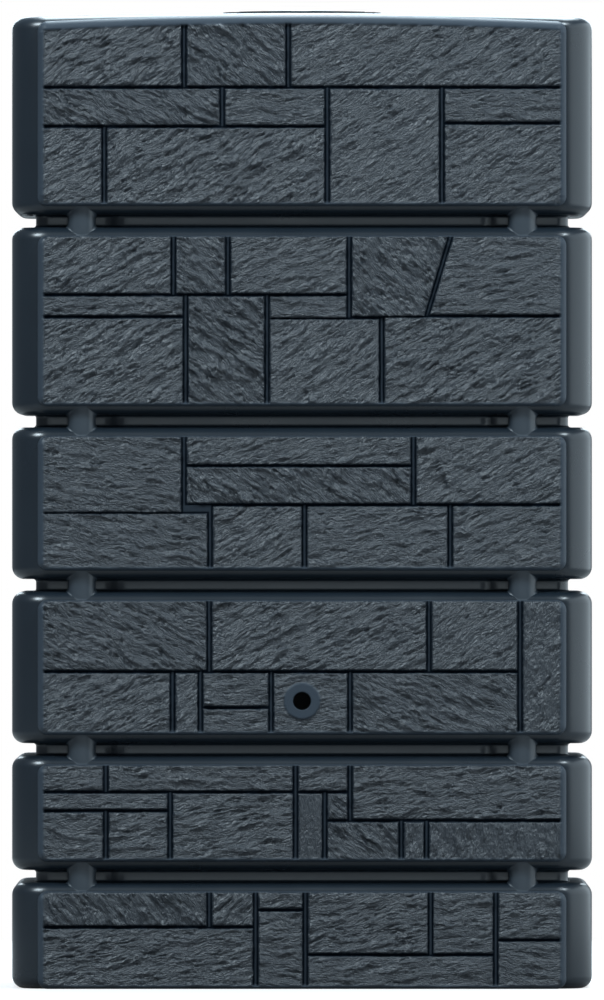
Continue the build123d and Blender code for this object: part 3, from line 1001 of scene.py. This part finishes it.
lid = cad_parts["lid"]
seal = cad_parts["lid_seal"]
for node, finish in ((lid, lid_plastic), (seal, seal_rubber)):
    node.data.materials.clear()
    node.data.materials.append(finish)
lid_edges = lid.modifiers.new("moulded_edges", "BEVEL")
lid_edges.width = LID_EDGE
lid_edges.segments = LID_EDGE_STEPS
lid_edges.limit_method = "ANGLE"
lid_edges.angle_limit = radians(LID_EDGE_ANGLE)
print("finished", lid.name, "and", seal.name)

# %% [markdown]
# Floor, background and light
# The picture is a catalogue shot on white. A soft key light high on the left rakes over the stones. A
# long white wall on the right draws the bright edge. A lamp above the tank and one behind it whiten the
# crown, and a small one high on the right gives the glints on the shoulders. The floor and the world
# are white to the camera and dimmer to the light that falls on the tank, so the left side and the
# grooves stay dark.

# %% Share of the white that a ray sees
MIRRORED_SHARE = 0.08


def white_share(tree):
    """1 for what the camera sees, and a smaller share for what shiny or clear surfaces show"""
    path = tree.nodes.new("ShaderNodeLightPath")
    mirrored = tree.nodes.new("ShaderNodeMath")
    mirrored.operation = "MAXIMUM"
    tree.links.new(path.outputs["Is Glossy Ray"], mirrored.inputs[0])
    tree.links.new(path.outputs["Is Transmission Ray"], mirrored.inputs[1])
    share = tree.nodes.new("ShaderNodeMath")
    share.operation = "MULTIPLY_ADD"
    share.use_clamp = True
    tree.links.new(mirrored.outputs["Value"], share.inputs[0])
    share.inputs[1].default_value = MIRRORED_SHARE
    tree.links.new(path.outputs["Is Camera Ray"], share.inputs[2])
    return share.outputs["Value"]


# %% Floor
FLOOR_LIFT = 0.62
FLOOR_HALF = 2.4
FLOOR_PALE = (0.9, 0.9, 0.9, 1)
FLOOR_DIM = (0.2, 0.2, 0.2, 1)
FLOOR_ROUGHNESS = 0.9


def floor_paint():
    """Pale paint, dim to the light that bounces off it; the lift is the share that takes no shadow"""
    material = bpy.data.materials.new("floor_paint")
    material.use_nodes = True
    nodes, links = material.node_tree.nodes, material.node_tree.links
    dim = nodes["Principled BSDF"]
    dim.inputs["Base Color"].default_value = FLOOR_DIM
    dim.inputs["Roughness"].default_value = FLOOR_ROUGHNESS
    pale = nodes.new("ShaderNodeBsdfDiffuse")
    pale.inputs["Color"].default_value = FLOOR_PALE
    white = nodes.new("ShaderNodeEmission")
    seen = nodes.new("ShaderNodeMixShader")
    seen.inputs["Fac"].default_value = FLOOR_LIFT
    links.new(pale.outputs["BSDF"], seen.inputs[1])
    links.new(white.outputs["Emission"], seen.inputs[2])
    chosen = nodes.new("ShaderNodeMixShader")
    links.new(white_share(material.node_tree), chosen.inputs["Fac"])
    links.new(dim.outputs["BSDF"], chosen.inputs[1])
    links.new(seen.outputs["Shader"], chosen.inputs[2])
    links.new(chosen.outputs["Shader"], nodes["Material Output"].inputs["Surface"])
    return material


floor_mesh = bpy.data.meshes.new("floor")
floor_corners = [(x * FLOOR_HALF, y * FLOOR_HALF, 0) for x, y in ((-1, -1), (1, -1), (1, 1), (-1, 1))]
floor_mesh.from_pydata(floor_corners, [], [(0, 1, 2, 3)])
floor_mesh.materials.append(floor_paint())
floor = bpy.data.objects.new("floor", floor_mesh)
bpy.context.scene.collection.objects.link(floor)
print("the floor is", 2 * FLOOR_HALF, "m wide")

# %% Lamps and world
LAMP_COLOUR = (0.78, 0.92, 1.0)
ROOM_COLOUR = (0.62, 0.82, 1.0, 1)
ROOM_STRENGTH = 0.18


def soft_box(name, width, height, watts, place, aim):
    """A rectangular lamp, a little cool, that points at a place"""
    lamp = bpy.data.lights.new(name, "AREA")
    lamp.color = LAMP_COLOUR
    lamp.shape = "RECTANGLE"
    lamp.size, lamp.size_y = width, height
    lamp.energy = watts
    holder = bpy.data.objects.new(name, lamp)
    bpy.context.scene.collection.objects.link(holder)
    holder.location = place
    holder.rotation_euler = (Vector(aim) - Vector(place)).to_track_quat("-Z", "Y").to_euler()
    print(name, "gives", watts, "watts")


soft_box("key", 2.0, 2.0, 450, (-3.4, -3.6, 5.3), (0, -0.2, 0.6))
soft_box("front_fill", 3.0, 1.6, 24, (0.6, -7.0, 0.9), (0, -0.2, 0.6))
soft_box("white_wall", 8.4, 3.6, 180, (3.4, 0.9, 1.4), (0, 0.9, 0.6))
soft_box("top_light", 1.9, 2.4, 250, (0.3, 1.2, 3.3), (0.3, 0.9, 1.2))
soft_box("back_light", 3.0, 1.2, 60, (0, 3.4, 1.9), (0, 0, 1.2))
soft_box("shoulder_glint", 0.6, 0.5, 100, (1.95, -2.3, 4.0), (0.3, -0.2, 0.8))

world = bpy.data.worlds.new("studio")
bpy.context.scene.world = world
world.use_nodes = True
sky_nodes, sky_links = world.node_tree.nodes, world.node_tree.links
room = sky_nodes["Background"]
room.inputs["Color"].default_value = ROOM_COLOUR
room.inputs["Strength"].default_value = ROOM_STRENGTH
white = sky_nodes.new("ShaderNodeBackground")
white.inputs["Color"].default_value = (1, 1, 1, 1)
sky = sky_nodes.new("ShaderNodeMixShader")
sky_links.new(white_share(world.node_tree), sky.inputs["Fac"])
sky_links.new(room.outputs["Background"], sky.inputs[1])
sky_links.new(white.outputs["Background"], sky.inputs[2])
sky_links.new(sky.outputs["Shader"], sky_nodes["World Output"].inputs["Surface"])
bpy.context.scene.view_settings.view_transform = "Standard"
